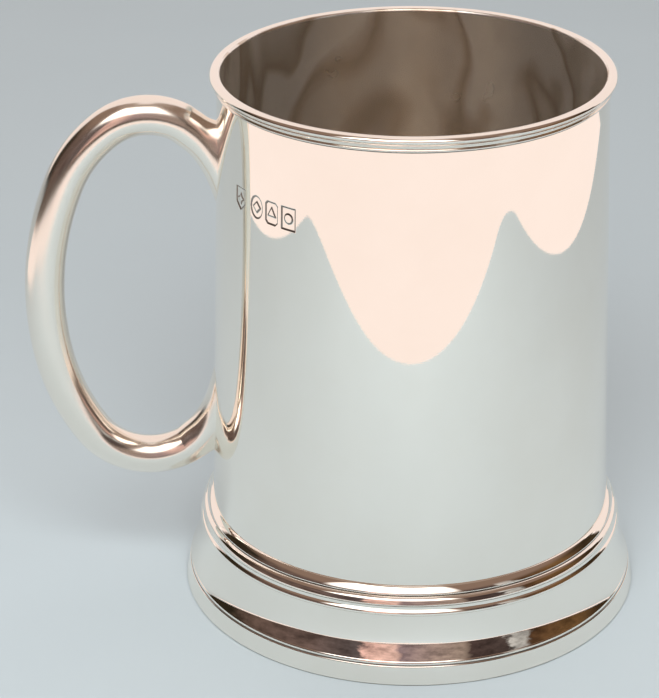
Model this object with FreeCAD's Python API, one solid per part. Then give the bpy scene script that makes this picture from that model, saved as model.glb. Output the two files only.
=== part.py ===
import FreeCAD, Part
import math
import os

# Open one-pint tankard of polished silver: a tapered barrel with a moulded lip, a reeded collar and
# a spreading foot, and a hollow loop handle with flared ends.
# Millimetres, +Z up. The origin is on the barrel's axis, on the plane that the foot stands on.
# The handle is towards -X, and its loop lies in the plane Y = 0.

# Driving dimensions
HEIGHT = 122.0                # foot plane to the top of the lip
FOOT_R = 51.75                # radius of the ring that the foot stands on
BARREL_LOW_R = 45.0           # outside of the barrel at the top of the foot collar
BARREL_HIGH_R = 41.9          # outside of the barrel just under the lip moulding
WALL = 0.8                    # sheet thickness of the barrel
SKIRT_WALL = 1.0              # sheet thickness of the spun skirt of the foot
FLOOR_TOP = 22.5              # inside floor of the cup
FLOOR_T = 1.2                 # thickness of the floor disc
TUBE_R = 4.3                  # outside radius of the handle tube
TUBE_WALL = 0.7               # sheet thickness of the handle

# Levels of the barrel and the foot
LIP_BOTTOM = 118.4
BARREL_TOP = HEIGHT - 0.08
COLLAR_TOP = 21.1
COLLAR_BOTTOM = 15.2
RIM_TOP = 5.3
BARREL_BOTTOM = COLLAR_BOTTOM - SKIRT_WALL

# Radii of the foot
SKIRT_TOP_R = 47.85
SKIRT_LOW_R = 50.48
RIM_INNER_R = 49.2

# Centre line of the handle, from its upper to its lower end, in the plane of the loop.
# The distance from the barrel's axis comes first and the height second. Each arc is (radius, heading
# at its far end); headings are degrees above the outward direction and fall as the loop turns.
HANDLE_START = (49.4, 110.9)
HANDLE_HEADING = 31.5
HANDLE_ARCS = [(14.5, -36.0), (28.7, -67.0), (70.5, -100.4), (50.9, -124.0), (15.85, -210.0)]

# Flared ends of the handle. Each oval section is (outer point, inner point, half width), and the
# last one lies inside the barrel's skin, which then trims the end.
UPPER_FLARE = [
    ((45.3, 113.15), (47.7, 103.7), 4.3),
    ((43.5, 111.8), (44.9, 99.0), 4.45),
    ((41.9, 111.2), (42.9, 93.5), 4.75),
    ((40.2, 110.9), (41.3, 88.5), 4.9),
]
LOWER_FLARE = [
    ((46.6, 31.3), (49.0, 41.0), 4.3),
    ((45.4, 32.0), (46.3, 45.6), 4.45),
    ((44.3, 32.4), (44.2, 52.2), 4.75),
    ((42.6, 32.6), (42.6, 57.0), 4.9),
]
VENT_R = 0.45                 # air hole on the underside of the lower flare

# Punched marks in a row right of the handle: plain cartouches round a plain raised device
MARK_Z = 101.0
MARK_DEPTH = 0.16
MARK_HEIGHT = 4.8
MARK_AZIMUTHS = [207.0, 215.0, 221.3, 227.6]


def barrel_radius(z):
    """Outside radius of the straight-tapered barrel at height z."""
    slope = (BARREL_HIGH_R - BARREL_LOW_R) / (LIP_BOTTOM - COLLAR_TOP)
    return BARREL_LOW_R + slope * (z - COLLAR_TOP)


def revolved(start, *steps):
    """Ring made by turning a closed outline of (radius, height) points about Z.

    A step is one point for a straight edge, or (middle, end) for an arc.
    """
    edges = []
    here = FreeCAD.Vector(start[0], 0, start[1])
    for step in steps + (start,):
        if isinstance(step[0], tuple):
            middle = FreeCAD.Vector(step[0][0], 0, step[0][1])
            there = FreeCAD.Vector(step[1][0], 0, step[1][1])
            edges.append(Part.Arc(here, middle, there).toShape())
        else:
            there = FreeCAD.Vector(step[0], 0, step[1])
            edges.append(Part.LineSegment(here, there).toShape())
        here = there
    face = Part.Face(Part.Wire(edges))
    return face.revolve(FreeCAD.Vector(0, 0, 0), FreeCAD.Vector(0, 0, 1), 360)


def barrel():
    """Tapered sheet cylinder with a softened mouth and four punched marks."""
    low, high = barrel_radius(BARREL_BOTTOM), barrel_radius(BARREL_TOP)
    inner = high - WALL
    shell = revolved(
        (low, BARREL_BOTTOM),
        (high, BARREL_TOP),
        (high - 0.1 * WALL, BARREL_TOP),
        ((inner + 0.2, BARREL_TOP - 0.25), (inner, BARREL_TOP - 0.9)),
        (low - WALL, BARREL_BOTTOM),
    )
    for index, azimuth in enumerate(MARK_AZIMUTHS):
        shell = shell.cut(mark_tool(index, azimuth))
    return shell


def polygon_face(points):
    """Flat face in the plane X = 0 from (y, z) points."""
    corners = [FreeCAD.Vector(0, y, z) for y, z in points]
    return Part.Face(Part.makePolygon(corners + corners[:1]))


def regular_points(count, radius, turn=0.0, second_radius=None):
    """Corners of a regular polygon, or of a star where a second radius is given."""
    radii = [radius, second_radius or radius]
    angles = [math.radians(turn + 360.0 * i / count) for i in range(count)]
    return [(radii[i % 2] * math.cos(a), radii[i % 2] * math.sin(a)) for i, a in enumerate(angles)]


def cartouche(index):
    """Outline of a punched mark and the plain device left standing in it."""
    half = MARK_HEIGHT / 2
    if index == 0:
        outline = [(-1.7, half), (1.7, half), (1.7, -0.9), (0.0, -half), (-1.7, -0.9)]
        device = regular_points(8, 1.25, 90, 0.6)
    elif index == 1:
        outline = regular_points(24, half, 90)
        outline = [(0.78 * y, z) for y, z in outline]
        device = regular_points(4, 1.2, 90)
    elif index == 2:
        outline = [(-1.1, half), (1.1, half), (1.7, 1.8), (1.7, -1.8), (1.1, -half), (-1.1, -half),
                   (-1.7, -1.8), (-1.7, 1.8)]
        device = regular_points(3, 1.3, 90)
    else:
        outline = [(-1.75, half), (1.75, half), (1.75, -half), (-1.75, -half)]
        device = regular_points(20, 1.05)
    return polygon_face(outline), polygon_face(device)


def mark_tool(index, azimuth):
    """Shallow curved cutter for one mark: a prism limited to the barrel's outer skin."""
    outline, device = cartouche(index)
    reach = FreeCAD.Vector(10, 0, 0)
    prism = outline.extrude(reach).cut(device.extrude(reach))
    prism.translate(FreeCAD.Vector(BARREL_LOW_R - 8, 0, MARK_Z))
    prism.rotate(FreeCAD.Vector(0, 0, 0), FreeCAD.Vector(0, 0, 1), azimuth)
    low_z, high_z = MARK_Z - MARK_HEIGHT, MARK_Z + MARK_HEIGHT
    skin = revolved(
        (barrel_radius(low_z) - MARK_DEPTH, low_z),
        (barrel_radius(low_z) + 1, low_z),
        (barrel_radius(high_z) + 1, high_z),
        (barrel_radius(high_z) - MARK_DEPTH, high_z),
    )
    return prism.common(skin)


def floor_disc():
    """Flat disc soldered inside the barrel, which closes the cup."""
    low = FLOOR_TOP - FLOOR_T
    return revolved(
        (0, low),
        (barrel_radius(low) - WALL, low),
        (barrel_radius(FLOOR_TOP) - WALL, FLOOR_TOP),
        (0, FLOOR_TOP),
    )


def lip_moulding():
    """Applied wire round the mouth: a broad bead, a fillet below it and a fine reed."""
    top, bottom = barrel_radius(BARREL_TOP), barrel_radius(LIP_BOTTOM)
    return revolved(
        (top, BARREL_TOP),
        ((42.85, HEIGHT - 0.14), (43.4, 121.3)),
        ((43.2, 120.75), (42.7, 120.5)),
        ((42.95, 120.3), (42.85, 120.05)),
        (42.35, 119.35),
        (42.15, 119.3),
        ((42.5, 119.05), (42.2, 118.75)),
        (bottom, LIP_BOTTOM),
    )


def foot_collar():
    """Reeded wire over the joint of barrel and foot: two broad beads, a fillet and a fine reed."""
    return revolved(
        (barrel_radius(COLLAR_BOTTOM), COLLAR_BOTTOM),
        (barrel_radius(COLLAR_TOP), COLLAR_TOP),
        ((45.23, 21.01), (45.44, 20.87)),
        ((45.97, 20.33), (46.41, 19.71)),
        ((46.46, 19.53), (46.41, 19.35)),
        (46.2, 19.2),
        ((46.52, 19.09), (46.82, 18.93)),
        ((47.03, 18.76), (47.2, 18.55)),
        ((47.43, 18.1), (47.59, 17.63)),
        ((47.59, 17.47), (47.51, 17.34)),
        (47.45, 17.2),
        (47.52, 16.5),
        ((47.76, 16.26), (47.96, 15.98)),
        ((48.06, 15.76), (48.09, 15.52)),
        ((48.05, 15.3), (SKIRT_TOP_R, COLLAR_BOTTOM)),
    )


def foot_skirt():
    """Spun cavetto between the collar and the rim of the foot, with a flange up to the barrel."""
    return revolved(
        (barrel_radius(COLLAR_BOTTOM), COLLAR_BOTTOM),
        (SKIRT_TOP_R, COLLAR_BOTTOM),
        ((48.29, 11.93), (49.02, 8.72)),
        ((49.68, 6.93), (SKIRT_LOW_R, RIM_TOP)),
        (SKIRT_LOW_R - 1.3 * SKIRT_WALL, RIM_TOP),
        ((48.45, 7.4), (47.9, 9.0)),
        ((47.15, 11.9), (SKIRT_TOP_R - SKIRT_WALL, BARREL_BOTTOM)),
        (barrel_radius(BARREL_BOTTOM), BARREL_BOTTOM),
    )


def foot_rim():
    """Heavy wire that the tankard stands on: a fillet and a fine reed over a slightly splayed band."""
    edge = 0.25
    return revolved(
        (RIM_INNER_R, edge),
        (RIM_INNER_R, RIM_TOP),
        (SKIRT_LOW_R, RIM_TOP),
        ((50.66, 5.02), (50.7, 4.62)),
        (50.62, 4.45),
        (50.68, 4.35),
        ((50.86, 4.2), (50.9, 3.9)),
        (FOOT_R - 0.02, edge),
        (FOOT_R - edge, 0),
        (RIM_INNER_R + edge, 0),
    )


def loop_point(distance, z):
    """Point of the handle's plane, from its distance to the barrel's axis and its height."""
    return FreeCAD.Vector(-distance, 0, z)


def handle_path():
    """Tangent arcs of the handle's centre line, and where its lower end lies."""
    edges = []
    distance, z = HANDLE_START
    heading = HANDLE_HEADING
    for radius, next_heading in HANDLE_ARCS:
        begin = math.radians(heading)
        centre = (distance + radius * math.sin(begin), z - radius * math.cos(begin))
        places = []
        for degrees in (heading, (heading + next_heading) / 2, next_heading):
            angle = math.radians(degrees)
            places.append((centre[0] - radius * math.sin(angle), centre[1] + radius * math.cos(angle)))
        edges.append(Part.Arc(*[loop_point(*place) for place in places]).toShape())
        distance, z = places[-1]
        heading = next_heading
    return Part.Wire(edges), (distance, z)


def tube_half(side):
    """Half of the handle tube on the +Y side (side 1) or the -Y side (side -1)."""
    path, _ = handle_path()
    heading = math.radians(HANDLE_HEADING)
    outward = FreeCAD.Vector(math.sin(heading), 0, math.cos(heading))
    sideways = FreeCAD.Vector(0, side, 0)
    start = loop_point(*HANDLE_START)
    inner_r = TUBE_R - TUBE_WALL
    section = Part.Wire([
        Part.Arc(start + outward * TUBE_R, start + sideways * TUBE_R, start - outward * TUBE_R).toShape(),
        Part.LineSegment(start - outward * TUBE_R, start - outward * inner_r).toShape(),
        Part.Arc(start - outward * inner_r, start + sideways * inner_r, start + outward * inner_r).toShape(),
        Part.LineSegment(start + outward * inner_r, start + outward * TUBE_R).toShape(),
    ])
    return path.makePipeShell([section], True, False)


def oval(outer, inner, half_width, inset=0.0):
    """Oval wire across the handle, made smaller by the inset all round."""
    far, near = loop_point(*outer), loop_point(*inner)
    along = (far - near).normalize()
    centre = (far + near) * 0.5
    long_half = far.distanceToPoint(near) / 2 - inset
    on_long = centre + along * long_half
    on_short = centre + FreeCAD.Vector(0, min(half_width - inset, long_half - 1e-4), 0)
    return Part.Wire([Part.Ellipse(on_long, on_short, centre).toShape()])


def flare(end, heading, sections):
    """Hollow flared end of the handle, from the tube's end to the skin of the barrel."""
    angle = math.radians(heading)
    across = (-math.sin(angle) * TUBE_R, math.cos(angle) * TUBE_R)
    first = ((end[0] + across[0], end[1] + across[1]), (end[0] - across[0], end[1] - across[1]), TUBE_R)
    outside = Part.makeLoft([oval(*section) for section in [first] + sections], True)
    hollow = Part.makeLoft([oval(*section, inset=TUBE_WALL) for section in [first] + sections], True)
    core = Part.makeCone(barrel_radius(0), barrel_radius(HEIGHT), HEIGHT)
    return outside.cut(hollow).cut(core)


def upper_flare():
    """Flared end that joins the handle to the barrel under the lip."""
    return flare(HANDLE_START, HANDLE_HEADING, UPPER_FLARE)


def lower_flare():
    """Flared end that joins the handle to the barrel above the foot, with its air hole."""
    _, end = handle_path()
    shape = flare(end, HANDLE_ARCS[-1][1], LOWER_FLARE)
    hole_distance = (end[0] + LOWER_FLARE[0][0][0]) / 2
    drill = Part.makeCylinder(VENT_R, 2 * TUBE_R, FreeCAD.Vector(-hole_distance, 0, end[1] - 2 * TUBE_R))
    return shape.cut(drill)


def main():
    """Build every piece and write one STEP file for each."""
    os.makedirs("parts", exist_ok=True)
    pieces = {
        "barrel": barrel(),
        "floor_disc": floor_disc(),
        "lip_moulding": lip_moulding(),
        "foot_collar": foot_collar(),
        "foot_skirt": foot_skirt(),
        "foot_rim": foot_rim(),
        "handle_front_half": tube_half(-1),
        "handle_back_half": tube_half(1),
        "handle_upper_flare": upper_flare(),
        "handle_lower_flare": lower_flare(),
    }
    for name, shape in pieces.items():
        shape.exportStep("parts/%s.step" % name)
        print("%-20s solids %d  valid %s  volume %.0f mm3"
              % (name, len(shape.Solids), shape.isValid(), shape.Volume))


main()
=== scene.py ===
import math

import bmesh
import bpy
import numpy as np
from mathutils import Matrix, Vector

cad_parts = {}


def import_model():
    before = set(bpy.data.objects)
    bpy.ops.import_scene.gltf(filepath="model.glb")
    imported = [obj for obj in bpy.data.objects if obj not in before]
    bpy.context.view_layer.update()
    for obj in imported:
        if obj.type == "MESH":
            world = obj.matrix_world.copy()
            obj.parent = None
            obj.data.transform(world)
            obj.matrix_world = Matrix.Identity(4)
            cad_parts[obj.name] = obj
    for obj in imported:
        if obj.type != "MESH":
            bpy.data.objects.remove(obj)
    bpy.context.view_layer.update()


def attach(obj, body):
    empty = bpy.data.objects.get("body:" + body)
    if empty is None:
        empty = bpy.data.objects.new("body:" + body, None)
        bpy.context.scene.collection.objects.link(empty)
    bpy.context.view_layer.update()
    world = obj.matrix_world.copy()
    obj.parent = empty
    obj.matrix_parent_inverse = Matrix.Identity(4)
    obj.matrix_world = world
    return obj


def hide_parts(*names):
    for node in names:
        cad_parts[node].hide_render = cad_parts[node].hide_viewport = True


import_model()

# Polished silver tankard. Metres, +Z up, the handle towards -X. Its shapes are written in
# millimetres and turned into metres when a mesh is made. The studio is written in metres.
MM = 0.001

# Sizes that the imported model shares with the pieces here
HEIGHT = 122.0
FOOT_R = 51.75
BARREL_LOW_R = 45.0
BARREL_HIGH_R = 41.9
WALL = 0.8
FLOOR_TOP = 22.5
FLOOR_T = 1.2
TUBE_R = 4.3
TUBE_WALL = 0.7
LIP_BOTTOM = 118.4
BARREL_TOP = HEIGHT - 0.08
COLLAR_TOP = 21.1
COLLAR_BOTTOM = 15.2
BARREL_BOTTOM = 14.2
RIM_TOP = 5.3
SKIRT_TOP_R = 47.85
SKIRT_LOW_R = 50.48
RIM_INNER_R = 49.2
HANDLE_START = (49.4, 110.9)
HANDLE_HEADING = 31.5
# Tangent arcs of the handle's centre line: radius, and heading in degrees where the arc ends
HANDLE_ARCS = [(14.5, -36.0), (28.7, -67.0), (70.5, -100.4), (50.9, -124.0), (15.85, -210.0)]
UPPER_FLARE = [((45.3, 113.15), (47.7, 103.7), 4.3), ((43.5, 111.8), (44.9, 99.0), 4.45),
               ((41.9, 111.2), (42.9, 93.5), 4.75), ((40.2, 110.9), (41.3, 88.5), 4.9)]
LOWER_FLARE = [((46.6, 31.3), (49.0, 41.0), 4.3), ((45.4, 32.0), (46.3, 45.6), 4.45),
               ((44.3, 32.4), (44.2, 52.2), 4.75), ((42.6, 32.6), (42.6, 57.0), 4.9)]
VENT_R = 0.45
MARK_Z = 101.0
MARK_DEPTH = 0.16
MARK_HEIGHT = 4.8
MARK_AZIMUTHS = [207.0, 215.0, 221.3, 227.6]

# Sizes that only the pieces here have
VENT_DEPTH = 0.7
VENT_EDGE = 1.25        # the hole starts this many radii from its centre
VENT_SLOPE = 0.5        # and is at its full depth this many radii further in
VENT_CEILING = 33.0     # the air hole is sunk only into the skin below this height
FLARE_SINK = 0.06       # how far the flares reach into the skin of the barrel
FLARE_CAP = 0.4         # how much further in the middle of a flare's hidden end lies

# Fineness of the meshes
RING_COUNT = 360
ARC_STEP = math.radians(7.5)
SHARP = math.radians(32)
SUPPORT = 0.03          # how far inside the ends of a straight run its extra points lie
LONG_RUN = 8 * SUPPORT  # only a longer straight run has them
ARC_RUN = 0.2           # longest face round an arc
MARK_GRID = 0.09        # face size on the punched marks
MARK_MARGIN = 4.0       # degrees of fine grid past the middles of the first and last marks
MARK_REACH = 3.2        # height of fine grid above and below the middle of the marks
HANDLE_STEP = 5.0       # degrees of turn to a handle ring, for a bend of 1 mm radius
HALVINGS = 24           # halvings that find where the flare meets the barrel


# ---------------------------------------------------------------- mesh helpers

def barrel_radius(z):
    """Outside radius of the straight-tapered barrel at height z."""
    slope = (BARREL_HIGH_R - BARREL_LOW_R) / (LIP_BOTTOM - COLLAR_TOP)
    return BARREL_LOW_R + slope * (z - COLLAR_TOP)


def new_object(name, vertices, faces, materials, face_materials=None):
    """Mesh object from points in millimetres, smooth except at its sharp edges."""
    mesh = bpy.data.meshes.new(name)
    mesh.from_pydata((np.asarray(vertices, float) * MM).tolist(), [], faces)
    for material in materials:
        mesh.materials.append(material)
    shape = bmesh.new()
    shape.from_mesh(mesh)
    bmesh.ops.recalc_face_normals(shape, faces=shape.faces)
    shape.to_mesh(mesh)
    shape.free()
    if face_materials is not None:
        mesh.polygons.foreach_set("material_index", np.asarray(face_materials, np.int32))
    mesh.polygons.foreach_set("use_smooth", np.ones(len(mesh.polygons), bool))
    mesh.set_sharp_from_angle(angle=SHARP)
    mesh.update()
    piece = bpy.data.objects.new(name, mesh)
    bpy.context.scene.collection.objects.link(piece)
    return piece


def on_frame(piece, *nodes):
    """The piece rides on the tankard's one body and stands for these CAD nodes."""
    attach(piece, "root")
    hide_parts(*nodes)
    return piece


def arc_points(start, middle, end):
    """Points of the arc through three points, without its start."""
    (ax, ay), (bx, by), (cx, cy) = start, middle, end
    d = 2 * (ax * (by - cy) + bx * (cy - ay) + cx * (ay - by))
    a2, b2, c2 = ax * ax + ay * ay, bx * bx + by * by, cx * cx + cy * cy
    ux = (a2 * (by - cy) + b2 * (cy - ay) + c2 * (ay - by)) / d
    uy = (a2 * (cx - bx) + b2 * (ax - cx) + c2 * (bx - ax)) / d
    radius = math.hypot(ax - ux, ay - uy)
    a0 = math.atan2(ay - uy, ax - ux)
    turns = [math.remainder(math.atan2(y - uy, x - ux) - a0, 2 * math.pi) for x, y in (middle, end)]
    sweep = turns[1]
    if turns[0] * sweep < 0:
        sweep -= math.copysign(2 * math.pi, sweep)
    count = max(6, math.ceil(abs(sweep) / ARC_STEP), math.ceil(abs(sweep) * radius / ARC_RUN))
    angles = [a0 + sweep * (i + 1) / count for i in range(count)]
    return [(ux + radius * math.cos(a), uy + radius * math.sin(a)) for a in angles]


def outline(start, *steps):
    """Points of a closed outline. A step is one point, or (middle, end) for an arc."""
    points = [start]
    for step in steps:
        if isinstance(step[0], tuple):
            points += arc_points(points[-1], step[0], step[1])
        else:
            points.append(step)
    return points


def supported(points):
    """The outline with a point just inside both ends of each straight run, to keep its shading flat."""
    made = []
    for (ax, ay), (bx, by) in zip(points, points[1:] + points[:1]):
        run = math.hypot(bx - ax, by - ay)
        made.append((ax, ay))
        if run > LONG_RUN:
            for share in (SUPPORT / run, 1 - SUPPORT / run):
                made.append((ax + (bx - ax) * share, ay + (by - ay) * share))
    return made


def lathe(name, points, materials, painted_shade_bands=()):
    """Closed ring turned about Z from an outline of (radius, height) points.

    Faces between the two heights of a painted-shade band take the second material, the dark one, as painted
    shade.
    """
    points = supported(points)
    count = len(points)
    angles = np.arange(RING_COUNT) * (2 * math.pi / RING_COUNT)
    profile = np.array(points)
    vertices = np.stack([
        np.outer(np.cos(angles), profile[:, 0]),
        np.outer(np.sin(angles), profile[:, 0]),
        np.tile(profile[:, 1], (RING_COUNT, 1)),
    ], -1).reshape(-1, 3)
    faces, slots = [], []
    for i in range(RING_COUNT):
        here, there = i * count, (i + 1) % RING_COUNT * count
        for j in range(count):
            k = (j + 1) % count
            faces.append((here + j, there + j, there + k, here + k))
            spot = (points[j][1] + points[k][1]) / 2
            slots.append(int(any(low < spot < high for low, high in painted_shade_bands)))
    return new_object(name, vertices, faces, materials, slots)


# ---------------------------------------------------------------- materials

# Sockets of a Mix node that mixes colours, which share their names with its other kinds
MIX_A = 6
MIX_B = 7
MIX_RESULT = 2


def node(tree, kind, inputs=None, **settings):
    """New shader node with its settings and input values."""
    made = tree.nodes.new(kind)
    for key, value in settings.items():
        setattr(made, key, value)
    for key, value in (inputs or {}).items():
        made.inputs[key].default_value = value
    return made


def ramp(tree, stops):
    """Colour ramp from (position, grey level or colour) stops."""
    made = tree.nodes.new("ShaderNodeValToRGB")
    elements = made.color_ramp.elements
    while len(elements) < len(stops):
        elements.new(0.5)
    for element, (position, value) in zip(elements, stops):
        element.position = position
        element.color = (value, value, value, 1) if isinstance(value, (int, float)) else (*value, 1)
    return made


def stains(tree, place, colour):
    """Wavy tide marks, drawn out upwards, multiplied into a colour."""
    smoke = node(tree, "ShaderNodeTexNoise", {"Scale": 19.0, "Detail": 3.0, "Distortion": 0.9})
    upright = node(tree, "ShaderNodeMapping")
    upright.inputs["Scale"].default_value = (1.0, 1.0, 0.4)
    tree.links.new(place.outputs["Object"], upright.inputs["Vector"])
    tree.links.new(upright.outputs["Vector"], smoke.inputs["Vector"])
    tide = ramp(tree, [(0.40, 1.0), (0.455, (0.62, 0.55, 0.47)), (0.47, 0.97), (0.53, 1.0),
                       (0.56, (0.66, 0.58, 0.50)), (0.59, (0.93, 0.90, 0.86)), (0.66, 0.90)])
    tree.links.new(smoke.outputs["Fac"], tide.inputs["Fac"])
    both = node(tree, "ShaderNodeMix", {"Factor": 1.0}, data_type="RGBA", blend_type="MULTIPLY")
    tree.links.new(colour, both.inputs[MIX_A])
    tree.links.new(tide.outputs["Color"], both.inputs[MIX_B])
    return both.outputs[MIX_RESULT]


def silver(name, bright, dull, rough, scratch, stretch, metallic=1.0, stained=False):
    """Silver with slow colour drift, uneven polish and fine scratches, and wavy stains if it is stained."""
    material = bpy.data.materials.new(name)
    material.use_nodes = True
    tree = material.node_tree
    shader = tree.nodes["Principled BSDF"]
    shader.inputs["Metallic"].default_value = metallic
    place = node(tree, "ShaderNodeTexCoord")
    drift = node(tree, "ShaderNodeTexNoise", {"Scale": 38.0, "Detail": 4.0, "Roughness": 0.6})
    tree.links.new(place.outputs["Object"], drift.inputs["Vector"])
    tint = ramp(tree, [(0.35, dull), (0.62, bright)])
    tree.links.new(drift.outputs["Fac"], tint.inputs["Fac"])
    colour = stains(tree, place, tint.outputs["Color"]) if stained else tint.outputs["Color"]
    tree.links.new(colour, shader.inputs["Base Color"])
    polish = node(tree, "ShaderNodeMapRange", {"From Min": 0.3, "From Max": 0.7,
                                               "To Min": rough[0], "To Max": rough[1]})
    tree.links.new(drift.outputs["Fac"], polish.inputs["Value"])
    tree.links.new(polish.outputs["Result"], shader.inputs["Roughness"])
    lines = node(tree, "ShaderNodeMapping")
    lines.inputs["Scale"].default_value = stretch
    tree.links.new(place.outputs["Object"], lines.inputs["Vector"])
    fine = node(tree, "ShaderNodeTexNoise", {"Scale": 1.0, "Detail": 3.0, "Roughness": 0.7})
    tree.links.new(lines.outputs["Vector"], fine.inputs["Vector"])
    bump = node(tree, "ShaderNodeBump", {"Strength": scratch, "Distance": 0.0001})
    tree.links.new(fine.outputs["Fac"], bump.inputs["Height"])
    tree.links.new(bump.outputs["Normal"], shader.inputs["Normal"])
    return material


OUTSIDE = silver("silver_polished", (0.965, 0.925, 0.855), (0.945, 0.900, 0.825), (0.0, 0.012), 0.006,
                 (900.0, 900.0, 2500.0))
HANDLE = silver("silver_handle", (0.955, 0.905, 0.825), (0.930, 0.875, 0.790), (0.15, 0.21), 0.01,
                (900.0, 900.0, 2500.0))
INSIDE = silver("silver_inside", (0.985, 0.955, 0.90), (0.955, 0.915, 0.85), (0.20, 0.28), 0.03,
                (160.0, 160.0, 2600.0), metallic=0.93, stained=True)
# Darkened silver: oxide in the punched marks together with painted shade on their walls, and painted shade
# in the grooves of the wires and along the foot's bottom edge, where the silver is no darker than elsewhere
OXIDE_AND_PAINTED_SHADE = silver("silver_oxide_and_painted_shade", (0.34, 0.31, 0.28), (0.20, 0.18, 0.16), (0.3, 0.5), 0.3,
                (2500.0, 2500.0, 2500.0))


# ---------------------------------------------------------------- body of the tankard

def regular_points(count, radius, turn=0.0, second_radius=None):
    """Corners of a regular polygon, or of a star where a second radius is given."""
    radii = [radius, second_radius or radius]
    angles = [math.radians(turn + 360.0 * i / count) for i in range(count)]
    return [(radii[i % 2] * math.cos(a), radii[i % 2] * math.sin(a)) for i, a in enumerate(angles)]


def cartouche(index):
    """Outline of a punched mark and the plain device left standing in it."""
    half = MARK_HEIGHT / 2
    if index == 0:
        return ([(-1.7, half), (1.7, half), (1.7, -0.9), (0.0, -half), (-1.7, -0.9)],
                regular_points(8, 1.25, 90, 0.6))
    if index == 1:
        return [(0.78 * y, z) for y, z in regular_points(24, half, 90)], regular_points(4, 1.2, 90)
    if index == 2:
        return ([(-1.1, half), (1.1, half), (1.7, 1.8), (1.7, -1.8), (1.1, -half), (-1.1, -half),
                 (-1.7, -1.8), (-1.7, 1.8)], regular_points(3, 1.3, 90))
    return [(-1.75, half), (1.75, half), (1.75, -half), (-1.75, -half)], regular_points(20, 1.05)


def signed_distance(px, pz, corners):
    """Distance of points to a polygon, below zero inside it."""
    nearest = np.full(px.shape, 1e9)
    inside = np.zeros(px.shape, bool)
    for (ax, az), (bx, bz) in zip(corners, corners[1:] + corners[:1]):
        ex, ez = bx - ax, bz - az
        t = np.clip(((px - ax) * ex + (pz - az) * ez) / (ex * ex + ez * ez), 0, 1)
        nearest = np.minimum(nearest, np.hypot(px - ax - t * ex, pz - az - t * ez))
        if az != bz:
            crosses = (az > pz) != (bz > pz)
            inside ^= crosses & (px < ax + (pz - az) / (bz - az) * ex)
    return np.where(inside, -nearest, nearest)


def mark_depths(azimuths, heights):
    """How deep the punched marks go at each azimuth (rows) and height (columns)."""
    soft = 0.15             # half the width of the sloping wall of a mark
    standing = 0.85         # share of the depth that the device stands up again
    depths = np.zeros((len(azimuths), len(heights)))
    radius = barrel_radius(MARK_Z)
    for index, azimuth in enumerate(MARK_AZIMUTHS):
        across, up = np.meshgrid(np.radians(azimuths - azimuth) * radius, heights - MARK_Z, indexing="ij")
        field, device = cartouche(index)
        sunk = np.clip(0.5 - signed_distance(across, up, field) / (2 * soft), 0, 1)
        raised = np.clip(0.5 - signed_distance(across, up, device) / (2 * soft), 0, 1)
        depths = np.maximum(depths, MARK_DEPTH * sunk * (1 - standing * raised))
    return depths


def barrel():
    """Tapered sheet barrel: a fine grid over the marks, a coarse one elsewhere, and the inner wall."""
    fine = math.degrees(MARK_GRID / barrel_radius(MARK_Z))
    window = (MARK_AZIMUTHS[0] - MARK_MARGIN, MARK_AZIMUTHS[-1] + MARK_MARGIN)
    azimuths = np.concatenate([np.arange(window[1] + 1, window[0] + 360, 1.0) - 360,
                               np.arange(window[0], window[1], fine)])
    heights = np.concatenate([[BARREL_BOTTOM, 40, 60, 80],
                              np.arange(MARK_Z - MARK_REACH, MARK_Z + MARK_REACH, MARK_GRID),
                              [110, BARREL_TOP]])
    high = barrel_radius(BARREL_TOP)
    inner = high - WALL
    low_inner = barrel_radius(BARREL_BOTTOM) - WALL
    rest = [(high - 0.1 * WALL, BARREL_TOP)]
    rest += arc_points(rest[0], (inner + 0.2, BARREL_TOP - 0.25), (inner, BARREL_TOP - 0.9))
    rest += [(low_inner + (inner - low_inner) * t, BARREL_BOTTOM + (BARREL_TOP - BARREL_BOTTOM) * t)
             for t in (0.75, 0.5, 0.25, 0.0)]
    depths = mark_depths(azimuths, heights)
    wall = 0.12 * MARK_DEPTH     # least change of depth across a face on the wall of a mark
    polished_rows = 3            # faces of the mouth's rounding, from the top, that are still polished
    skin = barrel_radius(heights)[None, :] - depths
    tail = np.array(rest)
    radii = np.concatenate([skin, np.tile(tail[:, 0], (len(azimuths), 1))], 1)
    levels = np.concatenate([heights, tail[:, 1]])
    angles = np.radians(azimuths)[:, None]
    vertices = np.stack([radii * np.cos(angles), radii * np.sin(angles),
                         np.tile(levels, (len(azimuths), 1))], -1).reshape(-1, 3)
    count = len(levels)
    faces, slots = [], []
    for i in range(len(azimuths)):
        follower = (i + 1) % len(azimuths)
        here, there = i * count, follower * count
        for j in range(count):
            k = (j + 1) % count
            faces.append((here + j, there + j, there + k, here + k))
            if j >= len(heights) + polished_rows:
                slots.append(1)
            # Faces on the steep walls of a mark take the dark silver: oxide in the punched hollow, together
            # with painted shade on its walls
            elif j + 1 < len(heights) and np.ptp(depths[np.ix_([i, follower], [j, j + 1])]) > wall:
                slots.append(2)
            else:
                slots.append(0)
    return new_object("barrel_wall", vertices, faces, [OUTSIDE, INSIDE, OXIDE_AND_PAINTED_SHADE], slots)


def floor_disc():
    """Flat floor of the cup, out to the inside of the wall. A pinhole at its centre makes it a ring."""
    low = FLOOR_TOP - FLOOR_T
    edge = barrel_radius(FLOOR_TOP) - WALL
    pinhole = 0.01
    rings = [(pinhole, low), (barrel_radius(low) - WALL, low), (edge, FLOOR_TOP)]
    rings += [(edge * t, FLOOR_TOP) for t in (0.95, 0.75, 0.5, 0.25)] + [(pinhole, FLOOR_TOP)]
    return lathe("cup_floor", rings, [INSIDE])


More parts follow.
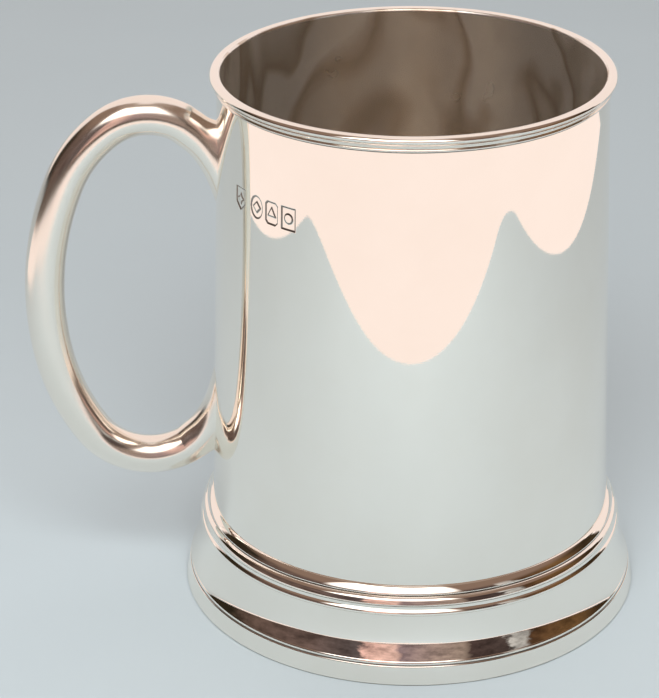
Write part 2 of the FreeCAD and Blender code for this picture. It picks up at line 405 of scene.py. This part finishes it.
def lip_moulding():
    """Applied wire round the mouth: a broad bead, a fillet below it and a fine reed."""
    top, bottom = barrel_radius(BARREL_TOP), barrel_radius(LIP_BOTTOM)
    points = outline(
        (top, BARREL_TOP),
        ((42.85, HEIGHT - 0.14), (43.4, 121.3)),
        ((43.2, 120.75), (42.7, 120.5)),
        ((42.95, 120.3), (42.85, 120.05)),
        (42.35, 119.35),
        (42.15, 119.3),
        ((42.5, 119.05), (42.2, 118.75)),
        (bottom, LIP_BOTTOM),
    )
    # The band at the foot of the wire is painted shade: the dark shadow gap where the wire meets the barrel
    return lathe("lip_wire", points[::-1], [OUTSIDE, OXIDE_AND_PAINTED_SHADE], [(LIP_BOTTOM - 0.1, 118.66)])


def foot_collar():
    """Reeded wire over the joint of barrel and foot: two broad beads, a fillet and a fine reed."""
    points = outline(
        (barrel_radius(COLLAR_BOTTOM), COLLAR_BOTTOM),
        (barrel_radius(COLLAR_TOP), COLLAR_TOP),
        ((45.23, 21.01), (45.44, 20.87)),
        ((45.97, 20.33), (46.41, 19.71)),
        ((46.46, 19.53), (46.41, 19.35)),
        (46.2, 19.2),
        ((46.52, 19.09), (46.82, 18.93)),
        ((47.03, 18.76), (47.2, 18.55)),
        ((47.43, 18.1), (47.59, 17.63)),
        ((47.59, 17.47), (47.51, 17.34)),
        (47.45, 17.2),
        (47.52, 16.5),
        ((47.76, 16.26), (47.96, 15.98)),
        ((48.06, 15.76), (48.09, 15.52)),
        ((48.05, 15.3), (SKIRT_TOP_R, COLLAR_BOTTOM)),
    )
    # The bands in the grooves at 19.2 and 17.2 mm and at the wire's lower edge are painted shade: the dark
    # lines in the grooves and along the joint
    painted_shade_bands = [(19.15, 19.36), (17.15, 17.36), (COLLAR_BOTTOM - 0.1, 15.34)]
    return lathe("collar_reeds", points[::-1], [OUTSIDE, OXIDE_AND_PAINTED_SHADE], painted_shade_bands)


def foot_skirt():
    """Spun cavetto between the collar and the rim of the foot, with a flange up to the barrel."""
    points = outline(
        (barrel_radius(COLLAR_BOTTOM), COLLAR_BOTTOM),
        (SKIRT_TOP_R, COLLAR_BOTTOM),
        ((48.29, 11.93), (49.02, 8.72)),
        ((49.68, 6.93), (SKIRT_LOW_R, RIM_TOP)),
        (SKIRT_LOW_R - 1.3, RIM_TOP),
        ((48.45, 7.4), (47.9, 9.0)),
        ((47.15, 11.9), (SKIRT_TOP_R - 1.0, BARREL_BOTTOM)),
        (barrel_radius(BARREL_BOTTOM), BARREL_BOTTOM),
    )
    return lathe("foot_cavetto", points[::-1], [OUTSIDE])


def foot_rim():
    """Heavy wire that the tankard stands on: a fillet and a fine reed over a slightly splayed band."""
    edge = 0.25
    points = outline(
        (RIM_INNER_R, edge),
        (RIM_INNER_R, RIM_TOP),
        (SKIRT_LOW_R, RIM_TOP),
        ((50.66, 5.02), (50.7, 4.62)),
        (50.62, 4.45),
        (50.68, 4.35),
        ((50.86, 4.2), (50.9, 3.9)),
        (FOOT_R - 0.02, edge),
        (FOOT_R - edge, 0),
        (RIM_INNER_R + edge, 0),
    )
    # The band in the groove under the reed is painted shade, and the band along the bottom edge is a
    # painted contact shadow where the foot meets the floor
    return lathe("foot_wire", points[::-1], [OUTSIDE, OXIDE_AND_PAINTED_SHADE], [(4.3, 4.6), (-0.1, 0.2)])


# ---------------------------------------------------------------- handle

def handle_line():
    """Centre line of the handle as (distance from the axis, height, heading) every few degrees."""
    distance, z = HANDLE_START
    heading = HANDLE_HEADING
    line = [(distance, z, math.radians(heading))]
    for radius, next_heading in HANDLE_ARCS:
        begin = math.radians(heading)
        centre = (distance + radius * math.sin(begin), z - radius * math.cos(begin))
        steps = max(4, math.ceil(abs(next_heading - heading) * math.sqrt(radius) / HANDLE_STEP))
        for i in range(1, steps + 1):
            angle = math.radians(heading + (next_heading - heading) * i / steps)
            distance = centre[0] - radius * math.sin(angle)
            z = centre[1] + radius * math.cos(angle)
            line.append((distance, z, angle))
        heading = next_heading
    return line


def tube_half(name, side, sides=40):
    """Half of the handle tube on one side of the loop's plane, with its own sheet thickness."""
    line = handle_line()
    inner_r = TUBE_R - TUBE_WALL
    turns = [math.pi * i / sides for i in range(sides + 1)]
    ring = [(TUBE_R, t) for t in turns] + [(inner_r, t) for t in turns[::-1]]
    vertices, normals = [], []
    for distance, z, heading in line:
        out = (-math.sin(heading), math.cos(heading))
        for radius, t in ring:
            along, across = math.cos(t), side * math.sin(t)
            normal = (-out[0] * along, across, out[1] * along)
            vertices.append((-(distance + out[0] * radius * along), radius * across,
                             z + out[1] * radius * along))
            normals.append(normal if radius == TUBE_R else tuple(-n for n in normal))
    count = len(ring)
    faces, smooth = [], []
    for i in range(len(line) - 1):
        for j in range(count):
            k = (j + 1) % count
            quad = (i * count + j, (i + 1) * count + j, (i + 1) * count + k, i * count + k)
            faces.append(quad if side > 0 else quad[::-1])
            smooth.append(j not in (sides, count - 1))
    last = (len(line) - 1) * count
    for j in range(sides):
        opposite = count - 1 - j
        for base, flip in ((0, side > 0), (last, side < 0)):
            quad = (base + j, base + j + 1, base + opposite - 1, base + opposite)
            faces.append(quad if flip else quad[::-1])
            smooth.append(False)
    piece = new_object(name, vertices, faces, [HANDLE])
    mesh = piece.data
    corner_normals = []
    for polygon, is_smooth in zip(mesh.polygons, smooth):
        flat = tuple(polygon.normal)
        corner_normals += [normals[v] if is_smooth else flat for v in polygon.vertices]
    mesh.normals_split_custom_set(corner_normals)
    return piece


def spline(values, t):
    """Smooth curve through evenly spaced values, at t from 0 to 1."""
    values = [np.asarray(v, float) for v in values]
    last = len(values) - 1
    i = min(int(t * last), last - 1)
    u = t * last - i
    before = values[i - 1] if i > 0 else 2 * values[0] - values[1]
    after = values[i + 2] if i + 2 <= last else 2 * values[last] - values[last - 1]
    a, b = values[i], values[i + 1]
    return 0.5 * (2 * a + (b - before) * u + (2 * before - 5 * a + 4 * b - after) * u * u
                  + (3 * a - before - 3 * b + after) * u ** 3)


def flare(name, end, heading, sections, vent=None, sides=144, rings=56):
    """Flared end of the handle, from the tube's end to the skin of the barrel."""
    across = (-math.sin(heading) * TUBE_R, math.cos(heading) * TUBE_R)
    first = ((end[0] + across[0], end[1] + across[1]), (end[0] - across[0], end[1] - across[1]), TUBE_R)
    stations = [(*outer, *inner, half) for outer, inner, half in [first] + sections]

    def point(t, turn):
        """Point of the flare at share t of its length, turned round its oval section."""
        far_l, far_z, near_l, near_z, half = spline(stations, t)
        share = (1 + math.cos(turn)) / 2
        return (near_l + (far_l - near_l) * share, half * math.sin(turn), near_z + (far_z - near_z) * share)

    def depth(t, turn):
        """How far outside its end surface the point lies, below zero past it."""
        l, y, z = point(t, turn)
        return math.hypot(l, y) - (barrel_radius(z) - FLARE_SINK)

    vertices = []
    for j in range(sides):
        turn = 2 * math.pi * j / sides
        low, high = 0.3, 1.0
        for _ in range(HALVINGS):
            half_way = (low + high) / 2
            if depth(half_way, turn) > 0:
                low = half_way
            else:
                high = half_way
        for i in range(rings + 1):
            l, y, z = point(low * i / rings, turn)
            if vent and z < vent[1]:
                away = math.hypot(l - vent[0], y) / VENT_R
                z += VENT_DEPTH * max(0.0, min(1.0, (VENT_EDGE - away) / VENT_SLOPE))
            vertices.append((-l, y, z))
    faces = []
    count = rings + 1
    for j in range(sides):
        here, there = j * count, (j + 1) % sides * count
        for i in range(rings):
            faces.append((here + i, there + i, there + i + 1, here + i + 1))
    faces.append(tuple(j * count for j in range(sides))[::-1])
    centre = len(vertices)
    tips = [vertices[j * count + rings] for j in range(sides)]
    vertices.append(tuple(np.mean(tips, 0) + np.array([FLARE_CAP, 0, 0])))
    for j in range(sides):
        faces.append((j * count + rings, (j + 1) % sides * count + rings, centre))
    return new_object(name, vertices, faces, [HANDLE])


line_end = handle_line()[-1]
on_frame(barrel(), "barrel")
on_frame(floor_disc(), "floor_disc")
on_frame(lip_moulding(), "lip_moulding")
on_frame(foot_collar(), "foot_collar")
on_frame(foot_skirt(), "foot_skirt")
on_frame(foot_rim(), "foot_rim")
on_frame(tube_half("handle_shell_front", -1), "handle_front_half")
on_frame(tube_half("handle_shell_back", 1), "handle_back_half")
on_frame(flare("handle_root_upper", HANDLE_START, math.radians(HANDLE_HEADING), UPPER_FLARE),
         "handle_upper_flare")
on_frame(flare("handle_root_lower", line_end[:2], line_end[2], LOWER_FLARE,
               vent=((line_end[0] + LOWER_FLARE[0][0][0]) / 2, VENT_CEILING)), "handle_lower_flare")


# ---------------------------------------------------------------- studio

STAGE_TURN = math.radians(-6.0)   # the sheet and the lights are square to the camera, not to the handle


def staged(name, vertices, faces, material, glossy_only=False):
    """Part of the studio, written in metres in the camera's own square."""
    mesh = bpy.data.meshes.new(name)
    mesh.from_pydata(vertices, [], faces)
    mesh.materials.append(material)
    made = bpy.data.objects.new(name, mesh)
    bpy.context.scene.collection.objects.link(made)
    made.rotation_euler = (0, 0, STAGE_TURN)
    if glossy_only:
        made.visible_camera = False
        made.visible_diffuse = False
        made.visible_shadow = False
    return made


def glow(name, colour):
    """Evenly lit card."""
    material = bpy.data.materials.new(name)
    material.use_nodes = True
    tree = material.node_tree
    tree.nodes.clear()
    out = tree.nodes.new("ShaderNodeOutputMaterial")
    shine = node(tree, "ShaderNodeEmission", {"Color": (*colour, 1), "Strength": 1.0})
    tree.links.new(shine.outputs["Emission"], out.inputs["Surface"])
    return material


def paper():
    """Pale blue-grey paper with a faint mottle."""
    material = bpy.data.materials.new("studio_paper")
    material.use_nodes = True
    tree = material.node_tree
    shader = tree.nodes["Principled BSDF"]
    shader.inputs["Roughness"].default_value = 0.9
    shader.inputs["Specular IOR Level"].default_value = 0.2
    place = node(tree, "ShaderNodeTexCoord")
    mottle = node(tree, "ShaderNodeTexNoise", {"Scale": 9.0, "Detail": 3.0})
    tree.links.new(place.outputs["Object"], mottle.inputs["Vector"])
    shade = ramp(tree, [(0.3, (0.505, 0.614, 0.672)), (0.7, (0.52, 0.629, 0.687))])
    tree.links.new(mottle.outputs["Fac"], shade.inputs["Fac"])
    tree.links.new(shade.outputs["Color"], shader.inputs["Base Color"])
    return material


WARM = (0.95, 0.82, 0.775)          # light of the warm white walls
WINDOW = (2.6, 2.45, 2.35)


def quad(x0, y0, x1, y1, z=0.0):
    """Corners of a level rectangle."""
    return [(x0, y0, z), (x1, y0, z), (x1, y1, z), (x0, y1, z)]


# The pale sheet, in metres in the camera's square: x to the right, y away from the camera
SHEET_FRONT = -0.22
SHEET_LEFT = -0.28
SHEET_RIGHT = 0.28
LEFT_CORNER = (0.17, 0.055)         # width and depth of the rounded front corners
RIGHT_CORNER = (0.05, 0.045)
LEFT_END = (-0.29, 0.09)            # where the warm table top beside the sheet stops
RIGHT_END = (0.255, 0.235)
CORNER_STEPS = 8


def sheet_edge():
    """Edge of the sheet from the end of its left side, round the front, to the end of its right side."""
    points = [LEFT_END]
    turns = [math.pi / 2 * i / CORNER_STEPS for i in range(CORNER_STEPS + 1)]
    for side, (width, depth), order in ((SHEET_LEFT, LEFT_CORNER, turns),
                                        (SHEET_RIGHT, RIGHT_CORNER, turns[::-1])):
        inward = math.copysign(width, -side)
        points += [(side + inward * (1 - math.cos(t)), SHEET_FRONT + depth * (1 - math.sin(t)))
                   for t in order]
    return points + [RIGHT_END]


SHEET = sheet_edge()
TABLE = 2.4                         # how many times wider than the sheet the warm table top is
TABLE_LIFT = 0.0006                 # the reflected-only cards lie just above the floor
ROOM_LIFT = 0.0004
ROOM_FRONT = -0.53                  # the dim room starts this far in front of the tankard
ROOM_SIDE = 0.66                    # and this far to its left and right
ROOM_BACK = 0.1                     # its side parts end this far behind the tankard
SWEEP_HALF = 0.28                   # the sheet curls up behind the tankard
SWEEP_FOOT = (0.40, 0.0)
SWEEP_HEAD = (0.42, 0.12)
FAR = 6.0

staged("studio_floor", quad(-FAR, -FAR, FAR, FAR), [(0, 1, 2, 3)], paper())

table = [(x, y, TABLE_LIFT) for x, y in SHEET]
table += [(x * TABLE, y * TABLE if y < 0 else y, TABLE_LIFT) for x, y in SHEET]
strips = [(i, i + 1, i + 1 + len(SHEET), i + len(SHEET)) for i in range(len(SHEET) - 1)]
staged("studio_table", table, strips, glow("studio_table", (1.04, 0.90, 0.85)), glossy_only=True)

sweep = [(-SWEEP_HALF, *SWEEP_FOOT), (SWEEP_HALF, *SWEEP_FOOT), (SWEEP_HALF, *SWEEP_HEAD),
         (-SWEEP_HALF, *SWEEP_HEAD)]
staged("studio_sweep", sweep, [(0, 1, 2, 3)], glow("studio_sweep", (0.50, 0.54, 0.555)),
       glossy_only=True)

room = quad(-FAR, -FAR, FAR, ROOM_FRONT, ROOM_LIFT)
room += quad(-FAR, ROOM_FRONT, -ROOM_SIDE, ROOM_BACK, ROOM_LIFT)
room += quad(ROOM_SIDE, ROOM_FRONT, FAR, ROOM_BACK, ROOM_LIFT)
staged("studio_room_floor", room, [(0, 1, 2, 3), (4, 5, 6, 7), (8, 9, 10, 11)],
       glow("studio_room_floor", (0.10, 0.075, 0.06)), glossy_only=True)


def lamp(name, place, size, energy, colour, aim):
    """Soft light that the silver itself does not mirror."""
    data = bpy.data.lights.new(name, "AREA")
    data.shape = "RECTANGLE"
    data.size, data.size_y = size
    data.energy = energy
    data.color = colour
    made = bpy.data.objects.new(name, data)
    bpy.context.scene.collection.objects.link(made)
    turn = Matrix.Rotation(STAGE_TURN, 3, "Z")
    made.location = turn @ Vector(place)
    made.rotation_euler = (turn @ (Vector(aim) - Vector(place))).to_track_quat("-Z", "Y").to_euler()
    made.visible_glossy = False


lamp("studio_key", place=(0.0, -0.36, 0.42), size=(0.36, 0.25), energy=1.6,
     colour=(1.0, 0.965, 0.935), aim=(0.02, -0.10, 0.0))
lamp("studio_fill", place=(0.0, 0.1, 1.3), size=(1.2, 1.2), energy=1.3,
     colour=(0.90, 0.985, 1.0), aim=(0.0, 0.0, 0.0))


# Colours of the room below the window, by direction: 0 degrees is from the tankard towards the
# camera, and directions to the camera's right count up
ROOM_BANDS = [
    (-118, WARM), (-116, (0.03, 0.022, 0.012)),
    (-96, (0.03, 0.022, 0.014)), (-88, (0.10, 0.065, 0.052)),
    (-48, (0.12, 0.08, 0.07)), (-24, (0.10, 0.08, 0.08)),
    (-21, (0.75, 0.46, 0.40)), (-6, (0.80, 0.52, 0.45)),
    (-3, (0.24, 0.17, 0.18)), (12, (0.36, 0.26, 0.23)), (27, (0.36, 0.27, 0.22)),
    (31, (0.07, 0.045, 0.04)), (50, (0.07, 0.05, 0.045)),
    (52, (0.50, 0.48, 0.46)), (59, (0.50, 0.48, 0.46)),
    (62, (0.08, 0.04, 0.02)), (90, (0.16, 0.085, 0.035)),
    (104, (0.06, 0.035, 0.018)), (120, (0.05, 0.035, 0.02)), (122, WARM),
]
BAND_WOBBLE = 16.0              # greatest width, in degrees, that the edges of the bands wander over
# Each pair below is where a soft edge starts and ends, in degrees
ROOM_HALF = (121.0, 122.5)      # the room in front ends this far to either side
WINDOW_LEFT = (-50.0, -44.0)
WINDOW_RIGHT = (24.0, 31.0)
WINDOW_BOTTOM = (27.0, 39.0)
WINDOW_TOP = (63.0, 67.0)
OVERHEAD = (80.0, 84.0)         # above this it is warm white all round
BESIDE_WINDOW = (0.25, 0.165, 0.125)
ABOVE_WINDOW = (0.36, 0.27, 0.22)
BACKDROP = (0.50, 0.54, 0.56)   # what the camera sees behind the floor


def world():
    """Room round the tankard, by direction: a window in front, dark room below it, warm white elsewhere."""
    made = bpy.data.worlds.new("studio")
    bpy.context.scene.world = made
    made.use_nodes = True
    tree = made.node_tree
    tree.nodes.clear()
    link = tree.links.new

    def math_node(operation, first, second=None, third=None):
        """Result of a sum on numbers or sockets."""
        made_node = node(tree, "ShaderNodeMath", operation=operation)
        for socket, value in zip(made_node.inputs, (first, second, third)):
            if isinstance(value, (int, float)):
                socket.default_value = value
            elif value is not None:
                link(value, socket)
        return made_node.outputs["Value"]

    def step(value, low, high):
        """0 below low and 1 above high."""
        made_node = node(tree, "ShaderNodeMapRange", {"From Min": low, "From Max": high})
        link(value, made_node.inputs["Value"])
        return made_node.outputs["Result"]

    def mix(share, below, above):
        """Colour below where the share is 0 and above where it is 1."""
        made_node = node(tree, "ShaderNodeMix", data_type="RGBA")
        for socket, value in ((made_node.inputs["Factor"], share), (made_node.inputs[MIX_A], below),
                              (made_node.inputs[MIX_B], above)):
            if isinstance(value, tuple):
                socket.default_value = (*value, 1)
            else:
                link(value, socket)
        return made_node.outputs[MIX_RESULT]

    place = node(tree, "ShaderNodeTexCoord")
    turned = node(tree, "ShaderNodeVectorRotate", {"Angle": -STAGE_TURN}, rotation_type="Z_AXIS")
    link(place.outputs["Generated"], turned.inputs["Vector"])
    parts = node(tree, "ShaderNodeSeparateXYZ")
    link(turned.outputs["Vector"], parts.inputs["Vector"])
    # degrees to the right of the way to the camera, and degrees above the horizon
    side = math_node("MULTIPLY", math_node("ARCTAN2", parts.outputs["X"],
                                           math_node("MULTIPLY", parts.outputs["Y"], -1.0)), 180 / math.pi)
    rise = math_node("MULTIPLY", math_node("ARCSINE", parts.outputs["Z"]), 180 / math.pi)
    clouds = node(tree, "ShaderNodeTexNoise", {"Scale": 5.0, "Detail": 4.0, "Roughness": 0.65})
    link(turned.outputs["Vector"], clouds.inputs["Vector"])
    wobble = math_node("MULTIPLY", math_node("SUBTRACT", clouds.outputs["Fac"], 0.5), BAND_WOBBLE)
    around = math_node("MULTIPLY_ADD", math_node("ADD", side, wobble), 1 / 360, 0.5)
    room = ramp(tree, [(0.5 + degrees / 360, colour) for degrees, colour in ROOM_BANDS])
    link(around, room.inputs["Fac"])
    speckle = node(tree, "ShaderNodeMapRange", {"From Min": 0.35, "From Max": 0.7,
                                                "To Min": 0.6, "To Max": 1.5})
    link(clouds.outputs["Fac"], speckle.inputs["Value"])
    dappled = node(tree, "ShaderNodeVectorMath", operation="SCALE")
    link(room.outputs["Color"], dappled.inputs[0])
    link(speckle.outputs["Result"], dappled.inputs["Scale"])
    in_front = math_node("SUBTRACT", 1.0, step(math_node("ABSOLUTE", side), *ROOM_HALF))
    low_room = mix(in_front, WARM, dappled.outputs["Vector"])
    right_of_window = step(side, *WINDOW_RIGHT)
    wide = math_node("MULTIPLY", step(side, *WINDOW_LEFT), math_node("SUBTRACT", 1.0, right_of_window))
    window = mix(wide, BESIDE_WINDOW, WINDOW)
    above = mix(step(rise, *WINDOW_BOTTOM), low_room, mix(in_front, WARM, window))
    topped = mix(step(rise, *WINDOW_TOP), above, mix(in_front, WARM, ABOVE_WINDOW))
    whole = mix(step(rise, *OVERHEAD), topped, WARM)
    rays = node(tree, "ShaderNodeLightPath")
    shown = mix(rays.outputs["Is Camera Ray"], whole, BACKDROP)
    back = node(tree, "ShaderNodeBackground", {"Strength": 1.0})
    link(shown, back.inputs["Color"])
    out = node(tree, "ShaderNodeOutputWorld")
    link(back.outputs["Background"], out.inputs["Surface"])


world()


CAMERA_PLACE = (-0.0518, -0.4932, 0.2925)
CAMERA_RIGHT = (0.9975, -0.0710, -0.0063)
CAMERA_FORWARD = (0.0613, 0.9002, -0.4311)
LENS = 126.4


def camera():
    """Long lens in front of and above the tankard, looking down on it at about 25 degrees."""
    data = bpy.data.cameras.new("camera")
    data.lens = LENS
    data.sensor_width = 36.0
    data.clip_start = 0.05
    data.clip_end = 50.0
    made = bpy.data.objects.new("camera", data)
    bpy.context.scene.collection.objects.link(made)
    made.location = CAMERA_PLACE
    right_way = Vector(CAMERA_RIGHT).normalized()
    forward = Vector(CAMERA_FORWARD).normalized()
    up = right_way.cross(forward).normalized()
    right_way = forward.cross(up)
    turn = Matrix((right_way, up, -forward)).transposed()
    made.rotation_euler = turn.to_euler()
    bpy.context.scene.camera = made


camera()
bpy.context.scene.view_settings.view_transform = "Standard"
